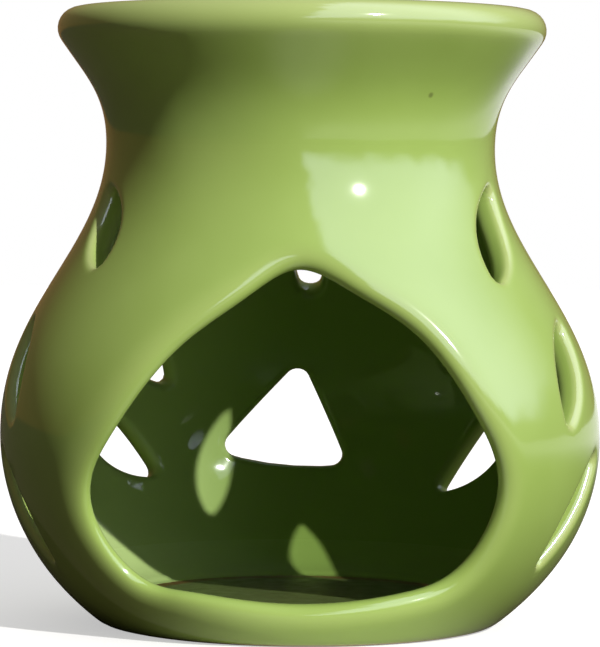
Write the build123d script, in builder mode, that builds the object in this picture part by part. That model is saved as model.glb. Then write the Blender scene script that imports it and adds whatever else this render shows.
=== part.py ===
from build123d import *
import os
from math import cos, hypot, radians, sin, sqrt

# An essential oil burner of glazed earthenware, in millimetres. Z is up, and the origin
# is the centre of the foot, on the surface that the pot stands on. The large opening for
# the tea light looks along -Y. Angles round the pot count from there, positive to +X.

# Ware and fits
WALL = 4.0
SLIP_GAP = 0.3  # room for slip round the spigot and the base disc
OVERRUN = 6.0  # how far a cutter runs past the wall

# Outside of the casing, from the foot up
FOOT_RADIUS = 28.9
FOOT_EDGE = 0.8
BELLY_RADIUS = 44.1
BELLY_LEVEL = 27.5
NECK_RADIUS = 28.35
NECK_LEVEL = 70.0
# The heel leaves the foot along this share of the way out to the belly and up to it
HEEL_SHARES = (0.868, 0.356)
# How far the curve stays upright, as shares of the heel's height and of the shoulder's
BELLY_PULL_SHARES = (0.222, 0.449)
NECK_PULL_SHARE = 0.365

# Oil bowl, from the neck up
BOWL_RISE = 20.0
SPIGOT_LENGTH = 5.0  # the plug under the bowl that drops into the neck
NECK_PULL_UP = 7.2
LIP_RADIUS = 35.75
LIP_ROLL = 3.0  # radius of the rolled lip
LIP_OUTER_ANGLE = -35.0  # where the roll leaves the outside, from the horizontal
LIP_INNER_ANGLE = 160.0  # where it meets the inside of the bowl
LIP_PULL = 6.5
BOWL_HOLLOW_STEP = 10.0  # the flat of the bowl ends this far inside the spigot
BOWL_WALL_PULL = 12.0

# Chamber floor
FLOOR_LEVEL = 3.8
FLOOR_CORNER = 3.0
BASE_RADIUS = 23.0  # the disc that closes the bottom of the casing
BASE_LUTING = 1.2  # bevel of slip round the base disc
NECK_LUTING = 2.0  # fillet of slip under the spigot, inside the neck

# Front opening for the tea light: a soft triangle, cut square to the wall
FRONT_WIDTH = 60.0
FRONT_HEIGHT = 46.5
FRONT_SILL = 7.1
FRONT_OFF_CENTRE = -1.0
FRONT_EDGE = 1.8
FRONT_SHARES = (
    (0.06, 1.0), (0.30, 0.94), (0.57, 0.79), (0.84, 0.54), (0.98, 0.30), (0.88, 0.15),
    (0.55, 0.04), (0.0, 0.0), (-0.55, 0.02), (-0.93, 0.09), (-1.06, 0.24),
    (-0.83, 0.48), (-0.50, 0.76), (-0.25, 0.90),
)

# Back window, as seen from behind: a smaller triangle with a bowed sill
BACK_WIDTH = 21.3
BACK_HEIGHT = 17.0
BACK_LEVEL = 27.0
BACK_BOW = 1.3
BACK_CORNER = 1.9
BACK_SHARES = ((-0.375, -0.47), (-0.01, 0.61), (0.66, -0.33))

# Leaf-shaped cuts: each has one full side, towards the front opening, and one flat side
VENT_FULL_SIDE = 3.8
VENT_FLAT_SIDE = 2.3
RIGHT_VENT_LENGTH = 18.3
RIGHT_VENT_LEVEL = 57.3
LEFT_VENT_LENGTH = 15.0
LEFT_VENT_LEVEL = 58.0
SIDE_LEAF_FULL_SIDE = 4.9
SIDE_LEAF_FLAT_SIDE = 2.4
SIDE_LEAF_LENGTH = 17.6
SIDE_LEAF_LEVEL = 37.9
PETAL_FULL_SIDE = 4.9
PETAL_FLAT_SIDE = 1.2
PETAL_LENGTH = 22.0
LEFT_PETAL_LEVEL = 25.4
RIGHT_PETAL_LEVEL = 25.0
LOW_PETAL_FULL_SIDE = 3.7
LOW_PETAL_LENGTH = 21.5
LOW_PETAL_LEVEL = 17.5
REAR_LEAF_FULL_SIDE = 4.8
REAR_LEAF_FLAT_SIDE = 1.2
REAR_LEAF_LENGTH = 17.2
LEFT_REAR_LEAF_LEVEL = 41.7
RIGHT_REAR_LEAF_LEVEL = 43.5
BACK_VENT_SIDE = 2.4
BACK_VENT_LENGTH = 17.0
BACK_VENT_LEVEL = 55.8
LEAF_TIP = 0.9
BACK_VENT_TIP = 1.5
CUT_EDGE = 1.2

# Full side, flat side and tip radius of each kind
VENT = (VENT_FULL_SIDE, VENT_FLAT_SIDE, LEAF_TIP)
SIDE_LEAF = (SIDE_LEAF_FULL_SIDE, SIDE_LEAF_FLAT_SIDE, LEAF_TIP)
PETAL = (PETAL_FULL_SIDE, PETAL_FLAT_SIDE, LEAF_TIP)
LOW_PETAL = (LOW_PETAL_FULL_SIDE, PETAL_FLAT_SIDE, LEAF_TIP)
REAR_LEAF = (REAR_LEAF_FULL_SIDE, REAR_LEAF_FLAT_SIDE, LEAF_TIP)
BACK_VENT = (BACK_VENT_SIDE, BACK_VENT_SIDE, BACK_VENT_TIP)

# Every leaf-shaped cut: angle round the pot, lean from upright, level of its middle, length
# and kind. They were cut freehand, so left and right don't quite match.
LEAVES = (
    (60, 34, RIGHT_VENT_LEVEL, RIGHT_VENT_LENGTH, VENT),
    (-60.8, -33, LEFT_VENT_LEVEL, LEFT_VENT_LENGTH, VENT),
    (66.5, 28, SIDE_LEAF_LEVEL, SIDE_LEAF_LENGTH, SIDE_LEAF),
    (-72.5, -27, SIDE_LEAF_LEVEL, SIDE_LEAF_LENGTH, SIDE_LEAF),
    (69.3, 31, LOW_PETAL_LEVEL, LOW_PETAL_LENGTH, LOW_PETAL),
    (-71, -31, LOW_PETAL_LEVEL, LOW_PETAL_LENGTH, LOW_PETAL),
    (136, -37, RIGHT_PETAL_LEVEL, PETAL_LENGTH, PETAL),
    (-135.5, 46, LEFT_PETAL_LEVEL, PETAL_LENGTH, PETAL),
    (139, -28, RIGHT_REAR_LEAF_LEVEL, REAR_LEAF_LENGTH, REAR_LEAF),
    (-143, 28, LEFT_REAR_LEAF_LEVEL, REAR_LEAF_LENGTH, REAR_LEAF),
    (177.5, 0, BACK_VENT_LEVEL, BACK_VENT_LENGTH, BACK_VENT),
)

# Levels and radii that follow from the sizes above
HEIGHT = NECK_LEVEL + BOWL_RISE
SHOULDER_RISE = NECK_LEVEL - BELLY_LEVEL
HEEL_PULL_DOWN = BELLY_LEVEL * BELLY_PULL_SHARES[0]
SHOULDER_PULL_UP = SHOULDER_RISE * BELLY_PULL_SHARES[1]
NECK_PULL_DOWN = SHOULDER_RISE * NECK_PULL_SHARE
SPIGOT_LEVEL = NECK_LEVEL - SPIGOT_LENGTH
SPIGOT_RADIUS = NECK_RADIUS - WALL - SLIP_GAP
BOWL_FLOOR_LEVEL = SPIGOT_LEVEL + WALL
BASE_BORE = BASE_RADIUS + SLIP_GAP
FRONT_DEPTH = sqrt(BELLY_RADIUS**2 - (FRONT_WIDTH / 2) ** 2)  # axis to the wall beside it

os.makedirs("parts", exist_ok=True)

# The casing's outline: x is the radius and y the height
with BuildLine():
    heel = Bezier(
        (FOOT_RADIUS, 0),
        (
            FOOT_RADIUS + (BELLY_RADIUS - FOOT_RADIUS) * HEEL_SHARES[0],
            BELLY_LEVEL * HEEL_SHARES[1],
        ),
        (BELLY_RADIUS, BELLY_LEVEL - HEEL_PULL_DOWN),
        (BELLY_RADIUS, BELLY_LEVEL),
    )
    shoulder = Bezier(
        (BELLY_RADIUS, BELLY_LEVEL),
        (BELLY_RADIUS, BELLY_LEVEL + SHOULDER_PULL_UP),
        (NECK_RADIUS, NECK_LEVEL - NECK_PULL_DOWN),
        (NECK_RADIUS, NECK_LEVEL),
    )
CURVE_SHARES = (0.2, 0.45, 0.7, 1.0)
stations = [(heel, share) for share in (0, *CURVE_SHARES)]
stations += [(shoulder, share) for share in CURVE_SHARES]


def inwards(curve, share):
    """The point one wall thickness inside a share of the way up a curve."""
    along = curve % share
    return curve @ share + Vector(-along.Y, along.X) * WALL


outer_points = [curve @ share for curve, share in stations]
inner_points = [inwards(curve, share) for curve, share in stations]


def outside_at(level):
    """The outline curve that passes a level, and its point there."""
    curve = shoulder if level > BELLY_LEVEL else heel
    return curve, curve.intersect(Plane.XZ.offset(-level))[0].center()


def wall_frame(angle, level, lean=0):
    """A plane on the outside of the wall, z outwards, its y leaning from upright by lean."""
    curve, point = outside_at(level)
    slope = curve.tangent_at(curve.param_at_point(point))
    turn, tilt = radians(angle), radians(lean)
    outward = Vector(sin(turn), -cos(turn))
    around = Vector(cos(turn), sin(turn))
    up_wall = outward * slope.X + Vector(0, 0, slope.Y)
    return Plane(
        origin=outward * point.X + Vector(0, 0, level),
        x_dir=around * cos(tilt) - up_wall * sin(tilt),
        z_dir=around.cross(up_wall),
    )


def on_outside(point):
    """Whether a point of a cut's edge lies on the outside of the wall."""
    return hypot(point.X, point.Y) > outside_at(point.Z)[1].X - WALL / 2


def rims(edges):
    """The edges of a cut that run along the outside or the inside of the wall."""
    return [edge for edge in edges if on_outside(edge @ 0) == on_outside(edge @ 1)]


# Casing: a revolved shell from the foot to the neck, with every opening cut through it
with BuildPart() as burner_body:
    with BuildSketch(Plane.XZ):
        with BuildLine():
            Spline(*outer_points)
            Polyline(outer_points[-1], (0, NECK_LEVEL), (0, 0), outer_points[0])
        make_face()
    revolve(axis=Axis.Z)
    with BuildSketch(Plane.XZ) as chamber:
        with BuildLine():
            Spline(*inner_points)
            low, high = inner_points[0], inner_points[-1]
            Polyline(high, (0, high.Y), (0, low.Y), low)
        make_face()
        with Locations((0, FLOOR_LEVEL)):
            Rectangle(
                BELLY_RADIUS, FLOOR_LEVEL, align=(Align.MIN, Align.MAX), mode=Mode.SUBTRACT
            )
    revolve(axis=Axis.Z, mode=Mode.SUBTRACT)
    fillet(burner_body.edges().filter_by(GeomType.CIRCLE).group_by(Axis.Z)[1], FLOOR_CORNER)

    # Bore for the base disc, with the bevel that its slip fills
    with BuildSketch(Plane.XZ):
        with BuildLine():
            Polyline(
                (0, 0),
                (BASE_BORE, 0),
                (BASE_BORE, FLOOR_LEVEL - BASE_LUTING),
                (BASE_BORE + BASE_LUTING, FLOOR_LEVEL),
                (0, FLOOR_LEVEL),
                close=True,
            )
        make_face()
    revolve(axis=Axis.Z, mode=Mode.SUBTRACT)
    fillet(burner_body.edges().filter_by(GeomType.CIRCLE).sort_by(SortBy.RADIUS)
           .group_by(Axis.Z)[0][-1:], FOOT_EDGE)

    # The front opening widens outwards from the axis, as a blade held square cuts it
    for reach in (BELLY_RADIUS / 2, BELLY_RADIUS + OVERRUN):
        spread = reach / FRONT_DEPTH
        with BuildSketch(Plane.XZ.offset(reach)):
            with BuildLine():
                Spline(
                    *[
                        (
                            (FRONT_OFF_CENTRE + across * FRONT_WIDTH / 2) * spread,
                            FRONT_SILL + up * FRONT_HEIGHT,
                        )
                        for across, up in FRONT_SHARES
                    ],
                    periodic=True,
                )
            make_face()
    loft(mode=Mode.SUBTRACT)
    fillet(rims(burner_body.edges(Select.LAST)), FRONT_EDGE)

    # The back window is a rounded triangle
    with BuildSketch(wall_frame(180, BACK_LEVEL)):
        with BuildLine():
            left, apex, right = [
                Vector(across * BACK_WIDTH, up * BACK_HEIGHT) for across, up in BACK_SHARES
            ]
            Polyline(left, apex, right)
            ThreePointArc(right, (left + right) / 2 - Vector(0, BACK_BOW), left)
        make_face()
        fillet(vertices(), BACK_CORNER)
    extrude(amount=WALL + OVERRUN, both=True, mode=Mode.SUBTRACT)
    fillet(rims(burner_body.edges(Select.LAST)), CUT_EDGE)

    # Each leaf is two arcs that meet in small rounded tips
    for angle, lean, level, length, (full_side, flat_side, tip_radius) in LEAVES:
        front = -1 if angle > 0 else 1  # the way to the front opening, across the leaf
        with BuildSketch(wall_frame(angle, level, lean)):
            with BuildLine():
                foot, tip = (0, -length / 2), (0, length / 2)
                ThreePointArc(foot, (front * full_side, 0), tip)
                ThreePointArc(tip, (-front * flat_side, 0), foot)
            make_face()
            fillet(vertices(), tip_radius)
        extrude(amount=WALL + OVERRUN, both=True, mode=Mode.SUBTRACT)
        fillet(rims(burner_body.edges(Select.LAST)), CUT_EDGE)
burner_body.part.label = "burner_body"
export_step(burner_body.part, "parts/burner_body.step")


def rolled(angle):
    """Point and running direction on the lip's roll, at an angle from the horizontal."""
    turn = radians(angle)
    centre = Vector(LIP_RADIUS - LIP_ROLL, HEIGHT - LIP_ROLL)
    return centre + Vector(cos(turn), sin(turn)) * LIP_ROLL, Vector(-sin(turn), cos(turn))


# Oil bowl: the flared top of the pot, with a rolled lip and a spigot that plugs the neck
with BuildPart() as oil_bowl:
    with BuildSketch(Plane.XZ):
        with BuildLine():
            lip_start, lip_rise = rolled(LIP_OUTER_ANGLE)
            lip_crest, _ = rolled((LIP_OUTER_ANGLE + LIP_INNER_ANGLE) / 2)
            lip_end, lip_fall = rolled(LIP_INNER_ANGLE)
            flat_end = (SPIGOT_RADIUS - BOWL_HOLLOW_STEP, BOWL_FLOOR_LEVEL)
            Bezier(
                (NECK_RADIUS, NECK_LEVEL),
                (NECK_RADIUS, NECK_LEVEL + NECK_PULL_UP),
                lip_start - lip_rise * LIP_PULL,
                lip_start,
            )
            ThreePointArc(lip_start, lip_crest, lip_end)
            Bezier(
                lip_end,
                lip_end + lip_fall * BOWL_WALL_PULL,
                (SPIGOT_RADIUS, BOWL_FLOOR_LEVEL),
                flat_end,
            )
            Polyline(
                flat_end,
                (0, BOWL_FLOOR_LEVEL),
                (0, SPIGOT_LEVEL),
                (SPIGOT_RADIUS, SPIGOT_LEVEL),
                (SPIGOT_RADIUS, NECK_LEVEL),
                (NECK_RADIUS, NECK_LEVEL),
            )
        make_face()
    revolve(axis=Axis.Z)
oil_bowl.part.label = "oil_bowl"
export_step(oil_bowl.part, "parts/oil_bowl.step")

# Slip pressed into the corner under the spigot, against the inside of the neck
with BuildPart() as bowl_luting_coil:
    with BuildSketch(Plane.XZ):
        with BuildLine():
            Polyline(
                (SPIGOT_RADIUS - NECK_LUTING, SPIGOT_LEVEL),
                (NECK_RADIUS, SPIGOT_LEVEL),
                (NECK_RADIUS, SPIGOT_LEVEL - NECK_LUTING - WALL),
                close=True,
            )
        make_face()
        add(chamber.sketch_local, mode=Mode.INTERSECT)
    revolve(axis=Axis.Z)
bowl_luting_coil.part.label = "bowl_luting_coil"
export_step(bowl_luting_coil.part, "parts/bowl_luting_coil.step")

# Base disc: closes the bottom of the casing, flush with the foot
with BuildPart() as base_disc:
    with BuildSketch(Plane.XY):
        Circle(BASE_RADIUS)
    extrude(amount=FLOOR_LEVEL)
    chamfer(base_disc.faces().sort_by(Axis.Z)[-1].edges(), BASE_LUTING)
base_disc.part.label = "base_disc"
export_step(base_disc.part, "parts/base_disc.step")

# Slip in the bevelled seam round the base disc, flush with the floor
with BuildPart() as base_luting_coil:
    with BuildSketch(Plane.XZ):
        with BuildLine():
            Polyline(
                (BASE_RADIUS, FLOOR_LEVEL - BASE_LUTING),
                (BASE_BORE, FLOOR_LEVEL - BASE_LUTING),
                (BASE_BORE + BASE_LUTING, FLOOR_LEVEL),
                (BASE_RADIUS - BASE_LUTING, FLOOR_LEVEL),
                close=True,
            )
        make_face()
    revolve(axis=Axis.Z)
base_luting_coil.part.label = "base_luting_coil"
export_step(base_luting_coil.part, "parts/base_luting_coil.step")
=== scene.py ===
# %% [markdown]
# An essential oil burner: a small round pot of earthenware under a glossy lime-green glaze.
# In use, a tea light inside warms a bowl of water and oil on top. The wall is cut through by
# hand in thirteen places, and the glaze has flowed over every cut, so nothing on it is sharp.
#
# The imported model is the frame. Its pieces say where everything goes, and the surfaces made
# here are finer copies of the two large ones, because a gloss shows every flat facet.

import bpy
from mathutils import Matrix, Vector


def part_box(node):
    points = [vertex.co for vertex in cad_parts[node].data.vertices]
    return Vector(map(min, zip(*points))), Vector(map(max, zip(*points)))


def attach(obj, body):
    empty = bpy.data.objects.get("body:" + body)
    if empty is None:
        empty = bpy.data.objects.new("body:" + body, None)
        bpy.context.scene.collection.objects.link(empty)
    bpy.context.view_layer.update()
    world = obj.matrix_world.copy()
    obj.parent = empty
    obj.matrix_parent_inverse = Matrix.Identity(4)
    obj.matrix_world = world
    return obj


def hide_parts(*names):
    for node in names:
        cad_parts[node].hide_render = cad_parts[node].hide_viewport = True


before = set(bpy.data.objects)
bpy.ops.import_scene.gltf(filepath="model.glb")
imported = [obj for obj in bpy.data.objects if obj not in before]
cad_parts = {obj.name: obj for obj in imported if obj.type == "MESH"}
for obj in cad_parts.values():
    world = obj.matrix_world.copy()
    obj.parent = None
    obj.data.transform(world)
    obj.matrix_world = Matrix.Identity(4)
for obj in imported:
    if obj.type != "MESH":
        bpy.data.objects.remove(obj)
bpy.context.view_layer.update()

from math import atan2, cos, hypot, pi, radians, sin, sqrt

import bpy
import numpy as np
from mathutils import Matrix, Vector
from mathutils.geometry import delaunay_2d_cdt

scene = bpy.context.scene
MM = 0.001
foot_box, bowl_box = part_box("burner_body"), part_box("oil_bowl")
NECK_LEVEL = foot_box[1][2] / MM
HEIGHT = bowl_box[1][2] / MM
print("casing up to", round(NECK_LEVEL, 2), "mm, bowl up to", round(HEIGHT, 2), "mm")

# %% [markdown]
# The camera comes first, so that every later render can be laid beside the photograph.
# The rim and the foot are ellipses, and how open they are gives the camera's height over
# the table and its distance. It looks slightly down at the front opening.

# %% The camera
PHOTO_LONG_SIDE = 647
PHOTO_FOCAL = 3401  # pixels, from how the ellipses open from the rim to the foot
FILM_WIDTH = 36  # mm, spread over the photograph's longer side
NEAREST = 0.01  # metres; nothing stands nearer to the camera
CAMERA_BACK = 0.5  # metres from the pot's axis
CAMERA_LEVEL = 0.0655
LOOK_DOWN = radians(2.47)
ROLL = radians(0.4)

camera = bpy.data.objects.new("camera", bpy.data.cameras.new("camera"))
scene.collection.objects.link(camera)
camera.location = (0, -CAMERA_BACK, CAMERA_LEVEL)
turned = Matrix.Rotation(pi / 2 - LOOK_DOWN, 4, "X") @ Matrix.Rotation(ROLL, 4, "Z")
camera.rotation_euler = turned.to_euler()
camera.data.sensor_width = FILM_WIDTH
camera.data.lens = FILM_WIDTH * PHOTO_FOCAL / PHOTO_LONG_SIDE
camera.data.clip_start = NEAREST
scene.camera = camera
print("lens", round(camera.data.lens, 1), "mm")

# %% [markdown]
# A few tools serve everything below. One turns arrays of points and faces into a mesh object
# in metres. The others draw a curve and resample it to even steps, because evenly spaced rows
# give even shading.


# %% Meshes and lines
def piece_from(name, points, faces, smooth=60):
    """A mesh object from points in mm and faces; edges sharper than smooth degrees stay sharp."""
    mesh = bpy.data.meshes.new(name)
    mesh.from_pydata((np.asarray(points) * MM).tolist(), [], [list(map(int, f)) for f in faces])
    mesh.polygons.foreach_set("use_smooth", np.ones(len(mesh.polygons), bool))
    mesh.set_sharp_from_angle(angle=radians(smooth))
    mesh.validate()
    mesh.update()
    piece = bpy.data.objects.new(name, mesh)
    scene.collection.objects.link(piece)
    return piece


def lengths(line):
    """Length along a line at each of its points."""
    return np.r_[0, np.cumsum(np.linalg.norm(np.diff(line, axis=0), axis=1))]


def resample(line, count, closed=False):
    """The same line in count evenly spaced points; a closed one doesn't repeat its first."""
    line = np.vstack([line, line[:1]]) if closed else np.asarray(line)
    along = lengths(line)
    at = np.linspace(0, along[-1], count, endpoint=not closed)
    return np.stack([np.interp(at, along, column) for column in line.T], axis=1)


def bezier(corners, count=400):
    """A cubic curve: four corners weighted (1-t)^3, 3(1-t)^2 t, 3(1-t)t^2 and t^3."""
    t = np.linspace(0, 1, count)[:, None]
    a, b, c, d = np.array(corners, float)
    return (1 - t) ** 3 * a + 3 * (1 - t) ** 2 * t * b + 3 * (1 - t) * t**2 * c + t**3 * d


# %% [markdown]
# The casing's outline is the solid's own: a heel that swings out from the foot to the belly,
# and a shoulder that swings in again to the neck. The inside runs 4 mm behind it and melts
# into the floor. Both are functions of one length along the wall, so a point of the wall is
# always a middle and half a wall to each side.

# %% The wall's outline
WALL = 4.0
FOOT_RADIUS, BELLY_RADIUS, NECK_RADIUS, BELLY_LEVEL = 28.9, 44.1, 28.35, 27.5
HEEL_SHARES, BELLY_PULL_SHARES, NECK_PULL_SHARE = (0.868, 0.356), (0.222, 0.449), 0.365
FLOOR_LEVEL, FLOOR_MELT, FOOT_MELT = 3.8, 3.0, 0.9
BORE_RADIUS, SEAM_RADIUS, BEVEL = 23.3, 24.5, 1.2
OUTLINE_POINTS = 1600


def soft_max(a, b, melt):
    """The larger of two values, with a round blend where they are less than melt apart."""
    return np.maximum(a, b) + np.maximum(melt - np.abs(a - b), 0) ** 2 / (4 * melt)


shoulder_rise = NECK_LEVEL - BELLY_LEVEL
heel_way = np.array(HEEL_SHARES) * (BELLY_RADIUS - FOOT_RADIUS, BELLY_LEVEL)
heel = bezier(
    [
        (FOOT_RADIUS, 0),
        (FOOT_RADIUS + heel_way[0], heel_way[1]),
        (BELLY_RADIUS, BELLY_LEVEL * (1 - BELLY_PULL_SHARES[0])),
        (BELLY_RADIUS, BELLY_LEVEL),
    ]
)
shoulder = bezier(
    [
        (BELLY_RADIUS, BELLY_LEVEL),
        (BELLY_RADIUS, BELLY_LEVEL + shoulder_rise * BELLY_PULL_SHARES[1]),
        (NECK_RADIUS, NECK_LEVEL - shoulder_rise * NECK_PULL_SHARE),
        (NECK_RADIUS, NECK_LEVEL),
    ]
)
heel_slope = heel_way / hypot(*heel_way)
foot_at = (FOOT_RADIUS - BORE_RADIUS) / heel_slope[0]  # length from the bore to the foot's edge
low_end = heel[0] - heel_slope * foot_at  # the heel's line, run on to the bore
outline = resample(np.vstack([[low_end], heel, shoulder[1:]]), OUTLINE_POINTS)
wall_length = lengths(outline)
slope = np.gradient(outline, wall_length, axis=0)
slope /= np.linalg.norm(slope, axis=1)[:, None]
behind = outline + np.stack([-slope[:, 1], slope[:, 0]], axis=1) * WALL

outer = outline.copy()
outer[:, 1] = soft_max(outline[:, 1], 0, FOOT_MELT)
inner = behind.copy()
inner[:, 1] = soft_max(behind[:, 1], FLOOR_LEVEL, FLOOR_MELT)
under = wall_length < foot_at
inner_foot = np.interp(foot_at, wall_length, behind[:, 0])
inner[under, 0] = SEAM_RADIUS + (inner_foot - SEAM_RADIUS) * wall_length[under] / foot_at
middle, half = (outer + inner) / 2, (outer - inner) / 2


def wall_at(along, table):
    """A value along the wall, from one of the tables above."""
    return np.stack([np.interp(along, wall_length, column) for column in table.T], axis=-1)


def along_wall(level, table=outer):
    """Length along the wall where a table reaches a level, above the foot."""
    above = wall_length > foot_at
    return np.interp(level, table[above, 1], wall_length[above])


print("wall length", round(wall_length[-1], 1), "mm")

# %% [markdown]
# A pot that a hand has sponged and trimmed is never quite round, and a gloss shows it: the
# edges of its reflections wander. A few long waves round the pot and up it, some tenths of a
# millimetre high, are enough. They fade at the foot and under the lip, which stay true.

# %% Unevenness of the hand
WAVE_HEIGHTS = {2: 0.16, 3: 0.12, 5: 0.07, 7: 0.05, 11: 0.025}  # mm, by waves round the pot
CLIMB = (0.02, 0.11)  # radians that a wave turns in a mm upwards, least and most
TRUE_FOOT, TRUE_LIP = 12, 8  # mm over which the waves grow above the foot and below the rim
NEAR_AXIS = 1.0  # mm; a point this near the axis stays true
draws = np.random.default_rng(7)
WAVES = [
    (turns, draws.uniform(*CLIMB), draws.uniform(0, 2 * pi), height)
    for turns, height in WAVE_HEIGHTS.items()
]


def uneven(angle, level):
    """Radial change in mm at an angle and level: a sum of sine waves that climb the pot."""
    fade = np.clip(level / TRUE_FOOT, 0, 1) * np.clip((HEIGHT - level) / TRUE_LIP, 0, 1)
    return fade * sum(
        height * np.sin(turns * angle + climb * level + start)
        for turns, climb, start, height in WAVES
    )


def in_space(angle, radius, level):
    """Points from an angle round the pot (0 at the front, positive to +X), radius and level."""
    radius = np.where(radius > NEAR_AXIS, radius + uneven(angle, level), radius)
    return np.stack([radius * np.sin(angle), -radius * np.cos(angle), level], axis=-1)


print("uneven by", round(sum(WAVE_HEIGHTS.values()), 2), "mm at most")


# %% [markdown]
# The openings are closed lines on the wall, as an angle round the pot and a length along it.
# The front one is a smooth line through a few places, the back one a triangle with rounded
# corners, and the others are leaves: two arcs that meet in small round tips.


# %% Outlines of the cuts
def closed_curve(corners, count=600, span=60):
    """A smooth closed line through the corners: cubics of span points whose bends agree."""
    corners = np.array(corners, float)
    ahead = np.roll(corners, -1, axis=0) - corners
    chord = np.linalg.norm(ahead, axis=1)
    before, at = np.roll(chord, 1), np.arange(len(corners))
    rows = np.zeros((len(corners),) * 2)
    rows[at, at] = 2 / before + 2 / chord
    rows[at, at - 1] = 1 / before
    rows[at, (at + 1) % len(corners)] = 1 / chord
    rise = ahead / chord[:, None] ** 2
    run = np.linalg.solve(rows, 3 * (rise + np.roll(rise, 1, axis=0)))
    t = np.linspace(0, 1, span, endpoint=False)[None, :, None]
    start, end = corners[:, None], np.roll(corners, -1, axis=0)[:, None]
    leave, arrive = run[:, None] * chord[:, None, None], np.roll(run, -1, axis=0)[:, None]
    arrive = arrive * chord[:, None, None]
    line = (
        (2 * t**3 - 3 * t**2 + 1) * start
        + (t**3 - 2 * t**2 + t) * leave
        + (3 * t**2 - 2 * t**3) * end
        + (t**3 - t**2) * arrive
    )
    return resample(line.reshape(-1, 2), count, closed=True)


def arc(centre, radius, first, last, count=60):
    """Points of a circle's arc between two angles."""
    turn = np.linspace(first, last, count)
    return np.stack([centre[0] + radius * np.cos(turn), centre[1] + radius * np.sin(turn)], 1)


def leaf(length, full_side, flat_side, tip):
    """Two arcs over one chord, rounded where they meet by circles that touch both."""
    reach = length / 2
    full_radius = (reach**2 + full_side**2) / (2 * full_side)
    flat_radius = (reach**2 + flat_side**2) / (2 * flat_side)
    full_x, flat_x = full_side - full_radius, flat_radius - flat_side
    a, b = full_radius - tip, flat_radius - tip
    tip_x = (a**2 - b**2 - full_x**2 + flat_x**2) / (2 * (flat_x - full_x))
    tip_y = sqrt(a**2 - (tip_x - full_x) ** 2)
    full_turn, flat_turn = atan2(tip_y, tip_x - full_x), atan2(tip_y, flat_x - tip_x)
    return np.vstack(
        [
            arc((full_x, 0), full_radius, -full_turn, full_turn),
            arc((tip_x, tip_y), tip, full_turn, pi - flat_turn),
            arc((flat_x, 0), flat_radius, pi - flat_turn, pi + flat_turn),
            arc((tip_x, -tip_y), tip, pi + flat_turn, 2 * pi - full_turn),
        ]
    )


def rounded(corners, radius, steps=24):
    """A polygon, counter-clockwise, with every corner turned into an arc of one radius."""
    corners = np.array(corners, float)
    ahead = np.roll(corners, -1, axis=0) - corners
    turn = np.arctan2(ahead[:, 1], ahead[:, 0])
    line = []
    for corner, arriving, leaving in zip(corners, np.roll(turn, 1), turn):
        bend = (leaving - arriving + pi) % (2 * pi) - pi
        inwards = arriving + bend / 2 + pi / 2
        centre = corner + radius / cos(bend / 2) * np.array([cos(inwards), sin(inwards)])
        line.append(arc(centre, radius, arriving - pi / 2, arriving + bend - pi / 2, steps))
    return np.vstack(line)


# %% [markdown]
# The leaves were cut freehand, so no two lie quite alike. Each has its own place and lean,
# and a few kinds of leaf are enough. The places come from renders laid beside the photograph,
# and a cut that it hides takes after the one on the other side of the pot.

# %% Places of the cuts
FRONT_WIDTH, FRONT_HEIGHT, FRONT_SILL, FRONT_OFF_CENTRE = 60.0, 46.5, 7.1, -1.0
FRONT_SHARES = (
    (0.02, 0.985), (0.27, 0.92), (0.57, 0.785), (0.84, 0.54), (1.02, 0.30), (0.95, 0.14),
    (0.58, 0.01), (0.0, -0.024), (-0.55, 0.01), (-0.93, 0.09), (-1.06, 0.24),
    (-0.83, 0.48), (-0.475, 0.76), (-0.21, 0.90),
)
BACK_WIDTH, BACK_HEIGHT, BACK_LEVEL, BACK_BOW, BACK_CORNER = 21.3, 17.0, 27.0, 1.3, 1.9
BACK_SHARES = ((-0.375, -0.47), (-0.01, 0.61), (0.66, -0.33))
VENT = (3.8, 2.3, 0.9)  # full side, flat side and tip radius
SIDE_LEAF = (4.1, 2.4, 0.9)
PETAL = (5.1, 1.7, 0.9)
BLUNT_PETAL = (5.2, 2.2, 1.4)
LOW_PETAL = (3.7, 1.2, 0.9)
REAR_LEAF = (4.8, 1.2, 0.9)
BACK_VENT = (2.3, 2.3, 1.5)
LEAVES = (  # angle round the pot, lean from upright, level of the middle, length, kind
    (61.5, 34, 57.3, 18.3, VENT),
    (-64.3, -33, 58.0, 15.0, VENT),
    (66.5, 28, 37.9, 17.6, SIDE_LEAF),
    (-75, -27, 37.9, 17.6, SIDE_LEAF),
    (69.3, 31, 17.5, 21.5, LOW_PETAL),
    (-73, -31, 17.5, 21.5, LOW_PETAL),
    (136, -37, 24.3, 24.0, PETAL),
    (-135.5, 46, 25.2, 23.0, BLUNT_PETAL),
    (139, -28, 43.5, 17.2, REAR_LEAF),
    (-143.6, 28, 41.0, 19.0, REAR_LEAF),
    (177.5, 0, 55.1, 18.3, BACK_VENT),
)
# How far the wall takes to round over at a cut, on its right and left; how square it is (2 is
# a round nose, more has a flatter face between two small corners); how thin the glaze ran
FRONT_NOSE = (3.4, 5.8, 2.3, 0.2)
CUT_NOSE = (1.7, 1.7, 2.6, 1.0)


def on_wall(line, angle, level, lean=0):
    """Carries a flat outline onto the wall: sideways becomes an angle, upwards a length."""
    tilt = radians(lean)
    sideways = line[:, 0] * cos(tilt) + line[:, 1] * sin(tilt)
    upwards = line[:, 1] * cos(tilt) - line[:, 0] * sin(tilt)
    start = along_wall(level)
    radius = wall_at(start, middle)[0]
    return np.stack([radians(angle) + np.arctan(sideways / radius), start + upwards], axis=1)


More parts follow.
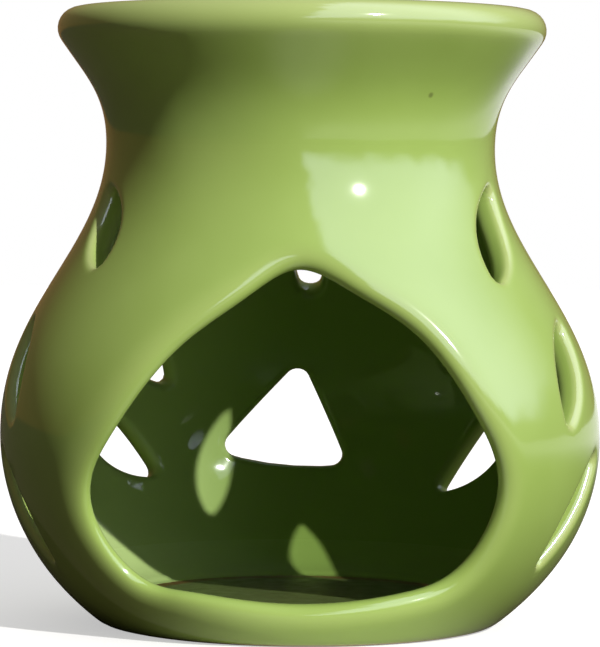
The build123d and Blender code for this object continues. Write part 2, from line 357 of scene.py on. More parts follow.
cuts = []
front_depth = sqrt(BELLY_RADIUS**2 - (FRONT_WIDTH / 2) ** 2)
front = closed_curve(FRONT_SHARES)
front_angle = np.arctan((FRONT_OFF_CENTRE + front[:, 0] * FRONT_WIDTH / 2) / front_depth)
front_along = along_wall(FRONT_SILL + front[:, 1] * FRONT_HEIGHT, middle)
cuts.append((np.stack([front_angle, front_along], axis=1), FRONT_NOSE))

(left, apex, right) = [np.array(share) * (BACK_WIDTH, BACK_HEIGHT) for share in BACK_SHARES]
sill_share = np.linspace(0, 1, 6)[:, None]
sill = left + (right - left) * sill_share
sill[:, 1] -= BACK_BOW * 4 * (sill_share * (1 - sill_share))[:, 0]  # sags by a parabola
back = rounded(np.vstack([sill, [apex]]), BACK_CORNER)
cuts.append((on_wall(back, 180, BACK_LEVEL), CUT_NOSE))

for angle, lean, level, length, kind in LEAVES:
    shape = leaf(length, *kind)
    shape[:, 0] *= -1 if angle > 0 else 1
    shape = shape[::-1] if angle > 0 else shape
    cuts.append((on_wall(shape, angle, level, lean), CUT_NOSE))
print(len(cuts), "cuts")

# %% [markdown]
# The wall is one net of triangles on a flat map, angle across and length upwards. Round each
# cut lie rings, close together at the edge and wider apart away from it, and between them a
# plain grid. The net is the Delaunay one, which avoids thin slivers. Then every point goes
# out by half a wall, and every point's twin goes in by as much; towards a cut both come back
# to the middle along a quarter of a (squarish) ellipse, which makes the soft round edge.

# %% Rings round a cut
MAP_RADIUS = 40.0  # mm for a radian on the flat map
RINGS = 11
RING_STEP = 0.6  # mm between points along a cut
ROLL_SLOPE, ROLL_START = 2.2, 1.0  # the roll changes over the left half of a cut
ring_turn = np.linspace(0, pi / 2, RINGS)  # from the middle of the cut face to the wall


def rings_of(line, right_roll, left_roll, square):
    """Rings round a cut: each point moves out from the cut, square to it, on the wall.

    Over the turn t, a ring lies 1 - cos(t)^(2/square) of the roll away from the cut.
    """
    flat = line * (wall_at(line[:, 1].mean(), middle)[0], 1)
    count = int(lengths(np.vstack([flat, flat[:1]]))[-1] / RING_STEP)
    line = resample(line * (MAP_RADIUS, 1), count, closed=True) / (MAP_RADIUS, 1)
    radius = wall_at(line[:, 1], middle)[:, 0]
    step = (np.roll(line, -1, axis=0) - np.roll(line, 1, axis=0)) * np.stack(
        [radius, np.ones(count)], axis=1
    )
    step /= np.linalg.norm(step, axis=1)[:, None]
    away = np.stack([step[:, 1] / radius, -step[:, 0]], axis=1)
    turning = np.sum(line[:, 0] * np.roll(line[:, 1], -1) - np.roll(line[:, 0], -1) * line[:, 1])
    away *= 1 if turning > 0 else -1
    leftness = (line[:, :1].max() - line[:, :1]) / np.ptp(line[:, 0])
    to_left = np.clip(ROLL_SLOPE * leftness - ROLL_START, 0, 1)
    roll = right_roll + (left_roll - right_roll) * to_left
    return [line + away * roll * (1 - abs(cos(turn)) ** (2 / square)) for turn in ring_turn]


def inside(points, loop):
    """Whether each point lies in a closed loop: an odd number of its edges pass to one side."""
    x, y = points[:, :1], points[:, 1:]
    ax, ay = loop.T
    bx, by = np.roll(loop, -1, axis=0).T
    crosses = (ay > y) != (by > y)
    at = ax + (y - ay) * (bx - ax) / np.where(by == ay, 1, by - ay)
    return (crosses & (x < at)).sum(axis=1) % 2 == 1


# %% Points of the net
SEAM_ANGLE = radians(101)  # where the map is cut open, clear of every cut in the wall
GRID_STEP = 1.0
UNDER_ROWS = 6  # from the bore to the foot's edge
NECK_ROWS = (1.2, 0.9, 0.6, 0.35, 0.15, 0)  # mm below the neck, closing up towards the bowl
MARGIN = 0.45  # mm between the last ring and the grid
BLOCKS = 40  # the grid is held against a ring block by block, to save memory


def wrapped(angle):
    """An angle brought into the map's range, which ends at the seam."""
    return (angle - SEAM_ANGLE) % (2 * pi) + SEAM_ANGLE - 2 * pi


net, share_of_half, corner, edges, holes = [], [], [], [], []
for line, (*nose, thinness) in cuts:
    line = np.stack([line[:, 0] + (wrapped(line[:, 0].mean()) - line[:, 0].mean()), line[:, 1]], 1)
    rings = rings_of(line, *nose)
    for ring, turn in zip(rings, ring_turn):
        first = len(net)
        net.extend(ring)
        share_of_half.extend([sin(turn) ** (2 / nose[-1])] * len(ring))
        corner.extend([thinness * sin(2 * turn) ** 2] * len(ring))
        at = np.arange(len(ring))
        edges.extend(np.stack([first + at, first + (at + 1) % len(ring)], axis=1).tolist())
    holes.append((rings[0], rings[-1]))
print(len(net), "ring points")

rows = np.r_[
    np.linspace(0, foot_at, UNDER_ROWS, endpoint=False),
    np.linspace(foot_at, wall_length[-1] - NECK_ROWS[0], int(wall_length[-1] / GRID_STEP)),
    wall_length[-1] - np.array(NECK_ROWS[1:]),
]
columns = int(2 * pi * BELLY_RADIUS / GRID_STEP)
spread = (np.arange(columns) / columns - 1) * 2 * pi + SEAM_ANGLE
grid = np.vstack(
    [
        np.stack([spread[1:] + (pi / columns) * (number % 2 - 0.5), np.full(columns - 1, row)], 1)
        for number, row in enumerate(rows)
    ]
)
for _, last in holes:
    grid = grid[~inside(grid, last)]
    near = np.ones(len(grid), bool)
    for block in np.array_split(np.arange(len(grid)), BLOCKS):
        apart = (grid[block, None] - last[None]) * (MAP_RADIUS, 1)
        near[block] = (apart**2).sum(axis=2).min(axis=1) > MARGIN**2
    grid = grid[near]
side = np.stack([np.full(len(rows), SEAM_ANGLE), rows], axis=1)
first_side = len(net) + len(grid)
net = np.vstack([net, grid, side - (2 * pi, 0), side])
share_of_half = np.r_[share_of_half, np.ones(len(net) - len(share_of_half))]
corner = np.r_[corner, np.zeros(len(net) - len(corner))]
print(len(net), "points in the net")

# %% Triangles of the net
WHOLE_NET, SAME_PLACE = 0, 1e-7  # all its triangles, with points this near taken as one
flat_net = [Vector((x * MAP_RADIUS, y)) for x, y in net]
_, _, triangles, origin, _, _ = delaunay_2d_cdt(flat_net, edges, [], WHOLE_NET, SAME_PLACE)
source = np.array([points[0] for points in origin])
triangles = source[np.array(triangles)]
centre = net[triangles].mean(axis=1)
for edge, _ in holes:
    keep = ~inside(centre, edge)
    triangles, centre = triangles[keep], centre[keep]
print(len(triangles), "triangles in the net")

# %% [markdown]
# The two sides of the wall share the points on the cuts' edges, so the skin closes there. It
# closes at the top under the bowl and at the bottom along the bevel that the base disc sits
# in. Each point also keeps how near it is to the corner of a cut, where the glaze has run
# thin and pale, and whether it is on the outside or inside.

# %% The casing
TINY = 1e-6


def sorted_row(along):
    """Indices of the net's points in one row, in order round the pot, without the seam twice."""
    row = np.flatnonzero(np.abs(net[:, 1] - along) < TINY)
    row = row[row < first_right]
    return row[np.argsort(net[row, 0])]


def band(low, high):
    """Four-sided faces between two rings of as many points, closed round the pot."""
    return np.stack([low, np.roll(low, -1), np.roll(high, -1), high], axis=1).tolist()


first_right = len(net) - len(rows)
twin = np.arange(len(net))
twin[first_right:] = first_side + np.arange(len(rows))
triangles = twin[triangles]
half_wall = wall_at(net[:, 1], half) * share_of_half[:, None]
mid_wall = wall_at(net[:, 1], middle)
out_points = in_space(net[:, 0], *(mid_wall + half_wall).T)
in_points = in_space(net[:, 0], *(mid_wall - half_wall).T)
on_edge = share_of_half < TINY
behind_index = np.where(on_edge, np.arange(len(net)), np.arange(len(net)) + len(net))
bottom, top = sorted_row(rows[0]), sorted_row(rows[-1])
bevel_ring = np.tile((BORE_RADIUS, FLOOR_LEVEL - BEVEL), (len(bottom), 1))
bevel = in_space(net[bottom, 0], *bevel_ring.T)
bevel_index = 2 * len(net) + np.arange(len(bottom))
casing_points = np.vstack([out_points, in_points, bevel])
casing_faces = (
    triangles.tolist()
    + behind_index[triangles[:, ::-1]].tolist()
    + band(top, behind_index[top])
    + band(bevel_index, bottom)
    + band(behind_index[bottom], bevel_index)
)


def drop_unused(points, faces, *values):
    """Only the points that faces use, with the faces and each point's values numbered anew."""
    used = np.unique(np.concatenate([np.ravel(face) for face in faces]))
    number = np.full(len(points), -1)
    number[used] = np.arange(len(used))
    return points[used], [number[list(face)].tolist() for face in faces], [v[used] for v in values]


edge_value = np.r_[corner, corner, np.zeros(len(bottom))]
inside_value = np.r_[1 - share_of_half, 1 + share_of_half, np.full(len(bottom), 2)] / 2
casing_points, casing_faces, (edge_value, inside_value) = drop_unused(
    casing_points, casing_faces, edge_value, inside_value
)
casing = piece_from("casing_glaze", casing_points, casing_faces)
OUTSIDE, INSIDE = 0, 1  # places of the two glazes in the casing's list of materials
face_side = np.full(len(casing.data.polygons), INSIDE)
face_side[: len(triangles)] = OUTSIDE
casing.data.polygons.foreach_set("material_index", face_side)


def store(piece, name, values):
    """Keeps one number per point of a mesh, for its material to read."""
    piece.data.attributes.new(name, "FLOAT", "POINT").data.foreach_set("value", values)


store(casing, "cut_edge", edge_value)
store(casing, "inside", inside_value)
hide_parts("burner_body")
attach(casing, "root")
print("casing", len(casing.data.vertices), "points,", len(casing.data.polygons), "faces")

# %% [markdown]
# The oil bowl is turned on the wheel, so one profile spun round the axis makes it: up from
# the neck, over the rolled lip, and down into the bowl. Its first rows are as close together
# as the casing's last, so that no line shows in the gloss where the two pieces meet.

# %% The oil bowl
SPIGOT_RADIUS, SPIGOT_LENGTH, NECK_PULL_UP = 24.05, 5.0, 7.2
LIP_RADIUS, LIP_ROLL, LIP_PULL = 35.75, 3.0, 6.5
LIP_OUTER_ANGLE, LIP_INNER_ANGLE = radians(-35), radians(160)
BOWL_FLAT_RADIUS, BOWL_WALL_PULL, BOWL_FLOOR_PULL = 14.0, 12.0, 10.0
TURN_STEPS, LIP_STEPS = 360, 40
ROW_STEP = 0.7
CLOSE_ROWS = 6  # the bowl's first row is split to match the casing's last ones
POLE_RADIUS = 0.8  # mm; inside it, a fan of triangles closes the surface over the axis
PALE_DEPTH, PALE_FROM, PALE_RISE = 2, 84, 6  # mm from the lip's roll, and up the bowl


def rolled(angle):
    """A point on the lip's roll and the direction that the roll runs there."""
    centre = np.array([LIP_RADIUS - LIP_ROLL, HEIGHT - LIP_ROLL])
    out = np.array([cos(angle), sin(angle)])
    return centre + out * LIP_ROLL, np.array([-out[1], out[0]])


spigot_level = NECK_LEVEL - SPIGOT_LENGTH
bowl_floor = spigot_level + WALL
(lip_start, lip_rise), (lip_end, lip_fall) = rolled(LIP_OUTER_ANGLE), rolled(LIP_INNER_ANGLE)
lip_turns = np.linspace(LIP_OUTER_ANGLE, LIP_INNER_ANGLE, LIP_STEPS)
skin = np.vstack(
    [
        bezier(
            [
                (NECK_RADIUS, NECK_LEVEL),
                (NECK_RADIUS, NECK_LEVEL + NECK_PULL_UP),
                lip_start - lip_rise * LIP_PULL,
                lip_start,
            ]
        ),
        [rolled(turn)[0] for turn in lip_turns[1:]],
        bezier(
            [
                lip_end,
                lip_end + lip_fall * BOWL_WALL_PULL,
                (BOWL_FLAT_RADIUS + BOWL_FLOOR_PULL, bowl_floor),
                (BOWL_FLAT_RADIUS, bowl_floor),
            ]
        )[1:],
        [(POLE_RADIUS, bowl_floor)],
    ]
)
skin = resample(skin, int(lengths(skin)[-1] / ROW_STEP))
first_rows = resample(skin[:2], CLOSE_ROWS)[1:-1]
profile = np.vstack(
    [
        [(POLE_RADIUS, spigot_level), (SPIGOT_RADIUS / 2, spigot_level)],
        [(SPIGOT_RADIUS, spigot_level), (SPIGOT_RADIUS, NECK_LEVEL), skin[0]],
        first_rows,
        skin[1:],
    ]
)


def turned_on_wheel(name, profile):
    """A profile spun round the axis, with a fan of triangles over the axis at both ends."""
    angle = np.arange(TURN_STEPS) / TURN_STEPS * 2 * pi
    rings = [in_space(angle, *np.full((TURN_STEPS, 2), row).T) for row in profile]
    ends = [(0, 0, profile[0][1]), (0, 0, profile[-1][1])]
    points = np.vstack(rings + [ends])
    numbers = np.arange(len(profile) * TURN_STEPS).reshape(len(profile), TURN_STEPS)
    faces = [face for low, high in zip(numbers, numbers[1:]) for face in band(low, high)]
    low_end, high_end = len(points) - 2, len(points) - 1
    faces += [(low_end, b, a) for a, b in zip(numbers[0], np.roll(numbers[0], -1))]
    faces += [(high_end, a, b) for a, b in zip(numbers[-1], np.roll(numbers[-1], -1))]
    return piece_from(name, points, faces)


bowl = turned_on_wheel("oil_bowl_glaze", profile)
bowl_points = np.empty(len(bowl.data.vertices) * 3)
bowl.data.vertices.foreach_get("co", bowl_points)
radius = np.hypot(*bowl_points.reshape(-1, 3).T[:2]) / MM
level = bowl_points.reshape(-1, 3)[:, 2] / MM
crown = np.hypot(radius - (LIP_RADIUS - LIP_ROLL), level - (HEIGHT - LIP_ROLL)) - LIP_ROLL
on_crown = np.clip(1 - np.abs(crown) / PALE_DEPTH, 0, 1)
store(bowl, "cut_edge", on_crown * np.clip((level - PALE_FROM) / PALE_RISE, 0, 1))
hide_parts("oil_bowl")
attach(bowl, "root")
print("bowl", len(bowl.data.vertices), "points,", len(bowl.data.polygons), "faces")

# %% [markdown]
# Materials are built from nodes. One function adds a node with its settings and links, and
# one turns the hex colour that a picture shows into the linear numbers that light needs.


# %% Node tools
def linear(text):
    """A hex colour as linear red, green, blue and alpha."""
    parts = [int(text[i : i + 2], 16) / 255 for i in (1, 3, 5)]
    return (*[c / 12.92 if c <= 0.04045 else ((c + 0.055) / 1.055) ** 2.4 for c in parts], 1)


def add_node(tree, kind, settings=None, **inputs):
    """Adds a node; settings are its own properties, inputs a value or a socket each.

    An input goes by its name, or by i and its number where a node has several of one name.
    """
    node = tree.nodes.new(kind)
    for name, value in (settings or {}).items():
        setattr(node, name, value)
    for name, value in inputs.items():
        key = int(name[1:]) if name[1:].isdigit() and name[0] == "i" else name.replace("_", " ")
        socket = node.inputs[key]
        if isinstance(value, bpy.types.NodeSocket):
            tree.links.new(value, socket)
        else:
            socket.default_value = value
    return node


def new_material(name):
    """An empty node material and its tree."""
    material = bpy.data.materials.new(name)
    material.use_nodes = True
    material.node_tree.nodes.clear()
    return material, material.node_tree


print("mid grey, #808080, is", round(linear("#808080")[0], 3), "of white in linear light")

# %% [markdown]
# The glaze is a glass, melted over pale clay; copper and chrome are what usually turns one
# this green. It is smooth to the touch, so its reflections are sharp. Where it flowed off an
# edge it is thin and the clay shows through, so cuts and the lip are paler and yellower.
# Inside it was poured, and its colour is painted light and shade: paler and yellower on the left,
# where the sun comes in through the cuts, and a deeper green to the right. The foot is wiped clean
# before the firing, so that the pot doesn't stick to the kiln's shelf.

# %% Colours of the glaze
GLAZE, GLAZE_THIN, GLAZE_DEEP = "#a9c366", "#c9d18c", "#9ab653"
GLAZE_INSIDE_PAINTED_LIGHT, GLAZE_INSIDE_PAINTED_SHADE = "#b2c880", "#789244"
CLAY, PINHOLE_COLOUR = "#d8c6a6", "#4a4426"
CLOUDS, CLOUD_DETAIL = 45.0, 3.0  # to a metre, so the glaze's clouds are about 22 mm across
CLOUD_FROM, CLOUD_TO, MOTTLING = 0.35, 0.65, 0.45
PALENESS = 0.6  # of a cut's edge, where the glaze ran thinnest
INSIDE_SHADE_FROM, INSIDE_SHADE_TO = -0.034, 0.002  # metres to the right, from painted light to painted shade inside the pot
PINHOLE = (0.01814, -0.02352, 0.07699)  # one small fault in the glaze, under the lip
PINHOLE_FROM, PINHOLE_TO, PINHOLE_DARKNESS = 0.0006, 0.0002, 0.5
COLOURS = {"data_type": "RGBA"}
SMOOTH = {"interpolation_type": "SMOOTHSTEP"}
TIMES = {"operation": "MULTIPLY"}


def glaze_colour(tree, place, poured, wiped):
    """Mottled green, pale on the edges, painted light and shade inside; clay where it was wiped.
    """
    cloud = add_node(
        tree, "ShaderNodeTexNoise", Vector=place, Scale=CLOUDS, Detail=CLOUD_DETAIL
    )
    depth = add_node(
        tree, "ShaderNodeMapRange", Value=cloud.outputs["Fac"],
        From_Min=CLOUD_FROM, From_Max=CLOUD_TO, To_Max=MOTTLING,
    )
    body = add_node(
        tree, "ShaderNodeMix", COLOURS,
        i0=depth.outputs[0], i6=linear(GLAZE), i7=linear(GLAZE_DEEP),
    )
    edge = add_node(tree, "ShaderNodeAttribute", {"attribute_name": "cut_edge"})
    thin = add_node(tree, "ShaderNodeMapRange", Value=edge.outputs["Fac"], To_Max=PALENESS)
    rimmed = add_node(
        tree, "ShaderNodeMix", COLOURS,
        i0=thin.outputs[0], i6=body.outputs[2], i7=linear(GLAZE_THIN),
    )
    # Inside, painted light and shade: paler and yellower to the left, a deeper green to the right.
    across = add_node(tree, "ShaderNodeSeparateXYZ", Vector=place).outputs["X"]
    inside_shade = add_node(
        tree, "ShaderNodeMapRange", SMOOTH, Value=across, From_Min=INSIDE_SHADE_FROM, From_Max=INSIDE_SHADE_TO
    )
    inside_lit_and_shaded = add_node(
        tree, "ShaderNodeMix", COLOURS,
        i0=inside_shade.outputs[0], i6=linear(GLAZE_INSIDE_PAINTED_LIGHT), i7=linear(GLAZE_INSIDE_PAINTED_SHADE),
    )
    glazed = add_node(
        tree, "ShaderNodeMix", COLOURS, i0=poured, i6=rimmed.outputs[2], i7=inside_lit_and_shaded.outputs[2]
    )
    bare = add_node(
        tree, "ShaderNodeMix", COLOURS, i0=wiped, i6=glazed.outputs[2], i7=linear(CLAY)
    )
    apart = add_node(
        tree, "ShaderNodeVectorMath", {"operation": "DISTANCE"}, i0=place, i1=PINHOLE
    )
    pinhole = add_node(
        tree, "ShaderNodeMapRange", SMOOTH, Value=apart.outputs["Value"],
        From_Min=PINHOLE_FROM, From_Max=PINHOLE_TO, To_Max=PINHOLE_DARKNESS,
    )
    spotted = add_node(
        tree, "ShaderNodeMix", COLOURS,
        i0=pinhole.outputs[0], i6=bare.outputs[2], i7=linear(PINHOLE_COLOUR),
    )
    return spotted.outputs[2]


# %% [markdown]
# The same colour goes into two glazes. The one outside has the usual gloss of a glass. The one
# inside is sharper but throws back less, which keeps the chamber as deep a green as it looks,
# and it turns dull near the floor. A faint ripple keeps the reflections from being a mirror's.

# %% The two glazes
POURED_FROM, POURED_TO = 0.45, 1.0  # of the way through the wall, from outside to inside
WIPED_FROM, WIPED_TO = 0.0005, 0.0002  # metres above the table
DULL_FROM, DULL_TO, LOW_DULLNESS = 0.012, 0.006, 0.5
BARE_ROUGHNESS = 0.8
RIPPLES, RIPPLE_DETAIL = 160.0, 1.0  # to a metre, so the ripples are about 6 mm apart
RIPPLE_STRENGTH, RIPPLE_HEIGHT = 0.12, 0.0003
GLASS_IOR = 1.5


def glaze_material(name, roughness, specular):
    """Green glaze over earthenware, fired: a gloss over slightly mottled colour."""
    material, tree = new_material(name)
    place = add_node(tree, "ShaderNodeTexCoord").outputs["Object"]
    level = add_node(tree, "ShaderNodeSeparateXYZ", Vector=place).outputs["Z"]
    through = add_node(tree, "ShaderNodeAttribute", {"attribute_name": "inside"})
    poured = add_node(
        tree, "ShaderNodeMapRange", SMOOTH, Value=through.outputs["Fac"],
        From_Min=POURED_FROM, From_Max=POURED_TO,
    ).outputs[0]
    wiped = add_node(
        tree, "ShaderNodeMapRange", SMOOTH, Value=level, From_Min=WIPED_FROM, From_Max=WIPED_TO
    ).outputs[0]
    low = add_node(
        tree, "ShaderNodeMapRange", SMOOTH, Value=level,
        From_Min=DULL_FROM, From_Max=DULL_TO, To_Max=LOW_DULLNESS,
    )
    dull = add_node(tree, "ShaderNodeMath", TIMES, i0=low.outputs[0], i1=poured)
    duller = add_node(
        tree, "ShaderNodeMath", {"operation": "MAXIMUM"}, i0=dull.outputs[0], i1=wiped
    )
    gloss = add_node(
        tree, "ShaderNodeMapRange", Value=duller.outputs[0],
        To_Min=roughness, To_Max=BARE_ROUGHNESS,
    )
    ripple = add_node(
        tree, "ShaderNodeTexNoise", Vector=place, Scale=RIPPLES, Detail=RIPPLE_DETAIL
    )
    bump = add_node(
        tree, "ShaderNodeBump", Height=ripple.outputs["Fac"],
        Strength=RIPPLE_STRENGTH, Distance=RIPPLE_HEIGHT,
    )
    shader = add_node(
        tree, "ShaderNodeBsdfPrincipled", Base_Color=glaze_colour(tree, place, poured, wiped),
        Roughness=gloss.outputs[0], IOR=GLASS_IOR, Specular_IOR_Level=specular,
        Normal=bump.outputs[0],
    )
    add_node(tree, "ShaderNodeOutputMaterial", Surface=shader.outputs[0])
    return material


glaze = glaze_material("green_glazed_earthenware", roughness=0.09, specular=0.5)
poured_glaze = glaze_material("poured_green_glazed_earthenware", roughness=0.05, specular=0.2)
casing.data.materials.append(glaze)
casing.data.materials.append(poured_glaze)
bowl.data.materials.append(glaze)
coil_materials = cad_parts["bowl_luting_coil"].data.materials
coil_materials.clear()
coil_materials.append(poured_glaze)
print("casing:", [material.name for material in casing.data.materials])

# %% [markdown]
# The floor of the chamber took less glaze, so it is duller, and its green is painted darker than
# the walls', as painted shade. Along the seam it is stained brown all round. The stain is a ring
# with noise in it: it goes by the distance from the axis, so it follows the seam whatever the
# mesh.

# %% Floor of the chamber
# The floor's dark green is painted shade for the chamber's floor; the brown stain is its own.
FLOOR_GLAZE_PAINTED_SHADE, STAIN, STAIN_DEPTH = "#4f5c2c", "#5b3d16", 0.9
STAIN_RINGS = {"base_disc": (0.0228, 0.0246), "base_luting_coil": (0.0220, 0.0240)}  # metres
GRAIN, GRAIN_DETAIL = 300.0, 4.0  # to a metre, so the specks are about 3 mm across
RAGGEDNESS = 0.0022  # metres that the stain's edge wanders
FLOOR_WIPED_FROM, FLOOR_WIPED_TO = 0.0008, 0.0004
GRAIN_FROM, GRAIN_TO, FLOOR_SMOOTHEST, FLOOR_ROUGHEST = 0.3, 0.7, 0.35, 0.6
GRAIN_STRENGTH, GRAIN_HEIGHT = 0.35, 0.0003


def stained_material(name, stain_from, stain_to):
    """Thin green glaze painted dark as shade, stained brown between two radii in metres; clay
    underneath.
    """
    material, tree = new_material(name)
    place = add_node(tree, "ShaderNodeTexCoord").outputs["Object"]
    flat = add_node(tree, "ShaderNodeVectorMath", TIMES, i0=place, i1=(1, 1, 0))
    radius = add_node(tree, "ShaderNodeVectorMath", {"operation": "LENGTH"}, i0=flat.outputs[0])
    grain = add_node(
        tree, "ShaderNodeTexNoise", Vector=place, Scale=GRAIN, Detail=GRAIN_DETAIL
    ).outputs["Fac"]
    ragged = add_node(
        tree, "ShaderNodeMath", {"operation": "MULTIPLY_ADD"},
        i0=grain, i1=RAGGEDNESS, i2=radius.outputs["Value"],
    )
    stain = add_node(
        tree, "ShaderNodeMapRange", SMOOTH, Value=ragged.outputs[0],
        From_Min=stain_from, From_Max=stain_to, To_Max=STAIN_DEPTH,
    )
    stained = add_node(
        tree, "ShaderNodeMix", COLOURS,
        i0=stain.outputs[0], i6=linear(FLOOR_GLAZE_PAINTED_SHADE), i7=linear(STAIN),
    )
    level = add_node(tree, "ShaderNodeSeparateXYZ", Vector=place).outputs["Z"]
    wiped = add_node(
        tree, "ShaderNodeMapRange", SMOOTH, Value=level,
        From_Min=FLOOR_WIPED_FROM, From_Max=FLOOR_WIPED_TO,
    )
    colour = add_node(
        tree, "ShaderNodeMix", COLOURS,
        i0=wiped.outputs[0], i6=stained.outputs[2], i7=linear(CLAY),
    )
    dull = add_node(
        tree, "ShaderNodeMapRange", Value=grain,
        From_Min=GRAIN_FROM, From_Max=GRAIN_TO,
        To_Min=FLOOR_SMOOTHEST, To_Max=FLOOR_ROUGHEST,
    )
    bump = add_node(
        tree, "ShaderNodeBump", Height=grain, Strength=GRAIN_STRENGTH, Distance=GRAIN_HEIGHT
    )
    shader = add_node(
        tree, "ShaderNodeBsdfPrincipled", Base_Color=colour.outputs[2],
        Roughness=dull.outputs[0], IOR=GLASS_IOR, Normal=bump.outputs[0],
    )
    add_node(tree, "ShaderNodeOutputMaterial", Surface=shader.outputs[0])
    return material


for node, stain_ring in STAIN_RINGS.items():
    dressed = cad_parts[node].data.materials
    dressed.clear()
    dressed.append(stained_material("stained_" + node, *stain_ring))
    print(node, "stained from", stain_ring[0] / MM, "mm")

# %% [markdown]
# The photograph was taken in the sun, from the right, above and a little in front. A line
# from each leaf-shaped patch of light in the chamber back to the cut that let it in gives the
# sun's direction, and the patches' edges say how small it is.

# %% The sun
SUN_TURN, SUN_HEIGHT = radians(37.3), radians(29.5)  # right of the front, and above the table
SUN_STRENGTH, SUN_SPREAD = 3.25, radians(1.0)

sun_way = Vector(
    (sin(SUN_TURN) * cos(SUN_HEIGHT), -cos(SUN_TURN) * cos(SUN_HEIGHT), sin(SUN_HEIGHT))
)
sun = bpy.data.objects.new("sun", bpy.data.lights.new("sun", "SUN"))
scene.collection.objects.link(sun)
sun.data.energy, sun.data.angle = SUN_STRENGTH, SUN_SPREAD
sun.location = sun_way
sun.rotation_euler = (-sun_way).to_track_quat("-Z", "Y").to_euler()
print("the sun stands towards", [round(part, 2) for part in sun_way])

# %% [markdown]
# A dim room stands round the pot, brighter and bluer towards one side. A pale wall behind the
# pot lights its back, and the gloss doesn't show it.

# %% The room
ROOM_DARK, ROOM_BRIGHT = "#8c7f66", "#f4f6ff"
BRIGHT_SIDE, BRIGHT_FROM, BRIGHT_TO = (0.62, -0.25, 0.74), -0.4, 1.0
ROOM_LEAST, ROOM_MOST = 0.05, 0.42
BEHIND_FROM, BEHIND_TO, BEHIND_STRENGTH = 0.4, 1.0, 0.9
WHITE = (1, 1, 1, 1)

world = bpy.data.worlds.new("room")
scene.world = world
world.use_nodes = True
tree = world.node_tree
tree.nodes.clear()
rays = add_node(tree, "ShaderNodeLightPath").outputs
way = add_node(tree, "ShaderNodeTexCoord").outputs["Generated"]
across = add_node(tree, "ShaderNodeSeparateXYZ", Vector=way).outputs
brightness = add_node(
    tree, "ShaderNodeVectorMath", {"operation": "DOT_PRODUCT"}, i0=way, i1=BRIGHT_SIDE
)
from_right = add_node(
    tree, "ShaderNodeMapRange", SMOOTH, Value=brightness.outputs["Value"],
    From_Min=BRIGHT_FROM, From_Max=BRIGHT_TO,
).outputs[0]
room_colour = add_node(
    tree, "ShaderNodeMix", COLOURS,
    i0=from_right, i6=linear(ROOM_DARK), i7=linear(ROOM_BRIGHT),
)
room_strength = add_node(
    tree, "ShaderNodeMapRange", Value=from_right, To_Min=ROOM_LEAST, To_Max=ROOM_MOST
)
room = add_node(
    tree, "ShaderNodeBackground",
    Color=room_colour.outputs[2], Strength=room_strength.outputs[0],
)
from_behind = add_node(
    tree, "ShaderNodeMapRange", SMOOTH, Value=across["Y"],
    From_Min=BEHIND_FROM, From_Max=BEHIND_TO, To_Max=BEHIND_STRENGTH,
)
behind_lit = add_node(
    tree, "ShaderNodeMath", TIMES, i0=from_behind.outputs[0], i1=rays["Is Diffuse Ray"]
)
pale_wall = add_node(
    tree, "ShaderNodeBackground", Color=WHITE, Strength=behind_lit.outputs[0]
)
print("room from", ROOM_LEAST, "to", ROOM_MOST)

# %% [markdown]
# A gloss shows more than the room: the bright sky on the right, ragged at its left and lower
# edges and soft towards the back, and a brown room on the left. Only glossy rays see these,
# so they draw the reflections and leave the glaze's own colour alone.

# %% Sky and brown room in the gloss
SKY, SKY_STRENGTH, BROWN, BROWN_STRENGTH = "#dde6ff", 4.7, "#a0784c", 0.6
RAGS, RAG_DETAIL = 3.2, 6.0  # size and fineness of the noise that frays its edges
RAGGED_LEFT, SKY_LEFT = 0.5, (0.32, 0.42)  # how ragged, and from where to where it fades in
RAGGED_LOW, SKY_LOW = 0.35, (0.27, 0.45)
SKY_BACK = (0.6, -0.1)

rags = add_node(tree, "ShaderNodeTexNoise", Vector=way, Scale=RAGS, Detail=RAG_DETAIL)
left_edge = add_node(
    tree, "ShaderNodeMath", {"operation": "MULTIPLY_ADD"},
    i0=rags.outputs["Fac"], i1=RAGGED_LEFT, i2=across["X"],
)
low_edge = add_node(
    tree, "ShaderNodeMath", {"operation": "MULTIPLY_ADD"},
    i0=rags.outputs["Fac"], i1=RAGGED_LOW, i2=across["Z"],
)
open_sky = rays["Is Glossy Ray"]
for value, (low, high) in (
    (left_edge.outputs[0], SKY_LEFT), (low_edge.outputs[0], SKY_LOW), (across["Y"], SKY_BACK),
):
    part = add_node(tree, "ShaderNodeMapRange", SMOOTH, Value=value, From_Min=low, From_Max=high)
    open_sky = add_node(tree, "ShaderNodeMath", TIMES, i0=open_sky, i1=part.outputs[0]).outputs[0]
sky_strength = add_node(tree, "ShaderNodeMath", TIMES, i0=open_sky, i1=SKY_STRENGTH)
sky = add_node(
    tree, "ShaderNodeBackground", Color=linear(SKY), Strength=sky_strength.outputs[0]
)
brown_strength = add_node(
    tree, "ShaderNodeMapRange", Value=from_right, To_Min=BROWN_STRENGTH, To_Max=0.0
)
brown_seen = add_node(
    tree, "ShaderNodeMath", TIMES, i0=brown_strength.outputs[0], i1=rays["Is Glossy Ray"]
)
brown = add_node(
    tree, "ShaderNodeBackground", Color=linear(BROWN), Strength=brown_seen.outputs[0]
)
reflected = add_node(tree, "ShaderNodeAddShader", i0=sky.outputs[0], i1=brown.outputs[0])
walls = add_node(tree, "ShaderNodeAddShader", i0=room.outputs[0], i1=pale_wall.outputs[0])
lit_room = add_node(tree, "ShaderNodeAddShader", i0=walls.outputs[0], i1=reflected.outputs[0])
white = add_node(tree, "ShaderNodeBackground", Color=WHITE, Strength=1.0)
shown = add_node(
    tree, "ShaderNodeMixShader",
    i0=rays["Is Camera Ray"], i1=lit_room.outputs[0], i2=white.outputs[0],
)
add_node(tree, "ShaderNodeOutputWorld", Surface=shown.outputs[0])
print(len(tree.nodes), "nodes in the room")
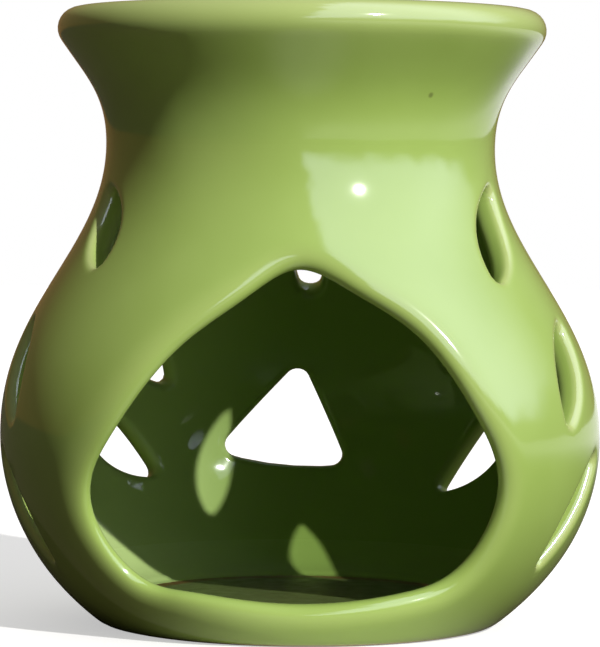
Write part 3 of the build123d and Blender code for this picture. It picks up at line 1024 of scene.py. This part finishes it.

# %% [markdown]
# The pot stands on a plain pale table. To the camera it glows a little, so that it is as white
# as the background outside the pot's shadow. To the pot it shows a painted pool of sunlight just
# in front and painted shade round that. In the gloss it shows a painted glow far off on the right,
# for sunlit table.

# %% Floor
FLOOR_SIZE = 3.0
TABLE_SEEN, TABLE_PAINTED_SUN, TABLE_PAINTED_SHADE = "#e8e6e2", "#e2dfd8", "#574f42"
LIT_NARROWING, LIT_MIDDLE = (2.4, 1, 1), (0.012, -0.055, 0)  # the patch is deeper than wide
LIT_FROM, LIT_TO = 0.085, 0.02  # metres from its middle
FLOOR_GLOW, FLOOR_PAINTED_GLOW = 0.5, 1.0
PAINTED_GLOW_AWAY, PAINTED_GLOW_RIGHT = (0.13, 0.45), (-0.05, 0.15)  # metres from the pot, and to its right

bpy.ops.mesh.primitive_plane_add(size=FLOOR_SIZE)
floor = bpy.context.object
floor.name = "floor"
floor_material, tree = new_material("pale_floor")
rays = add_node(tree, "ShaderNodeLightPath").outputs
place = add_node(tree, "ShaderNodeTexCoord").outputs["Object"]
narrowed = add_node(tree, "ShaderNodeVectorMath", TIMES, i0=place, i1=LIT_NARROWING)
from_middle = add_node(
    tree, "ShaderNodeVectorMath", {"operation": "DISTANCE"},
    i0=narrowed.outputs[0], i1=LIT_MIDDLE,
)
# A painted pool of sunlight in front of the pot and painted shade round it, for every ray but the
# camera's.
lit = add_node(
    tree, "ShaderNodeMapRange", SMOOTH, Value=from_middle.outputs["Value"],
    From_Min=LIT_FROM, From_Max=LIT_TO,
)
painted_sun_and_shade = add_node(
    tree, "ShaderNodeMix", COLOURS,
    i0=lit.outputs[0], i6=linear(TABLE_PAINTED_SHADE), i7=linear(TABLE_PAINTED_SUN),
)
seen = add_node(
    tree, "ShaderNodeMix", COLOURS,
    i0=rays["Is Camera Ray"], i6=painted_sun_and_shade.outputs[2], i7=linear(TABLE_SEEN),
)
matt = add_node(tree, "ShaderNodeBsdfDiffuse", Color=seen.outputs[2])
camera_glow = add_node(tree, "ShaderNodeMath", TIMES, i0=rays["Is Camera Ray"], i1=FLOOR_GLOW)
from_pot = add_node(tree, "ShaderNodeVectorMath", {"operation": "LENGTH"}, i0=place)
to_right = add_node(tree, "ShaderNodeSeparateXYZ", Vector=place)
# A painted glow far off on the right, which the gloss shows as sunlit table.
painted_glow = rays["Is Glossy Ray"]
for value, (low, high) in (
    (from_pot.outputs["Value"], PAINTED_GLOW_AWAY), (to_right.outputs["X"], PAINTED_GLOW_RIGHT),
):
    part = add_node(tree, "ShaderNodeMapRange", SMOOTH, Value=value, From_Min=low, From_Max=high)
    painted_glow = add_node(tree, "ShaderNodeMath", TIMES, i0=painted_glow, i1=part.outputs[0]).outputs[0]
glow_strength = add_node(
    tree, "ShaderNodeMath", {"operation": "MULTIPLY_ADD"},
    i0=painted_glow, i1=FLOOR_PAINTED_GLOW, i2=camera_glow.outputs[0],
)
glow = add_node(tree, "ShaderNodeEmission", Color=WHITE, Strength=glow_strength.outputs[0])
table = add_node(tree, "ShaderNodeAddShader", i0=matt.outputs[0], i1=glow.outputs[0])
add_node(tree, "ShaderNodeOutputMaterial", Surface=table.outputs[0])
floor.data.materials.append(floor_material)
print("table", FLOOR_SIZE, "m wide")

# %% [markdown]
# The Standard view transform shows colours as they are written.

# %% Colours as written
scene.view_settings.view_transform = "Standard"
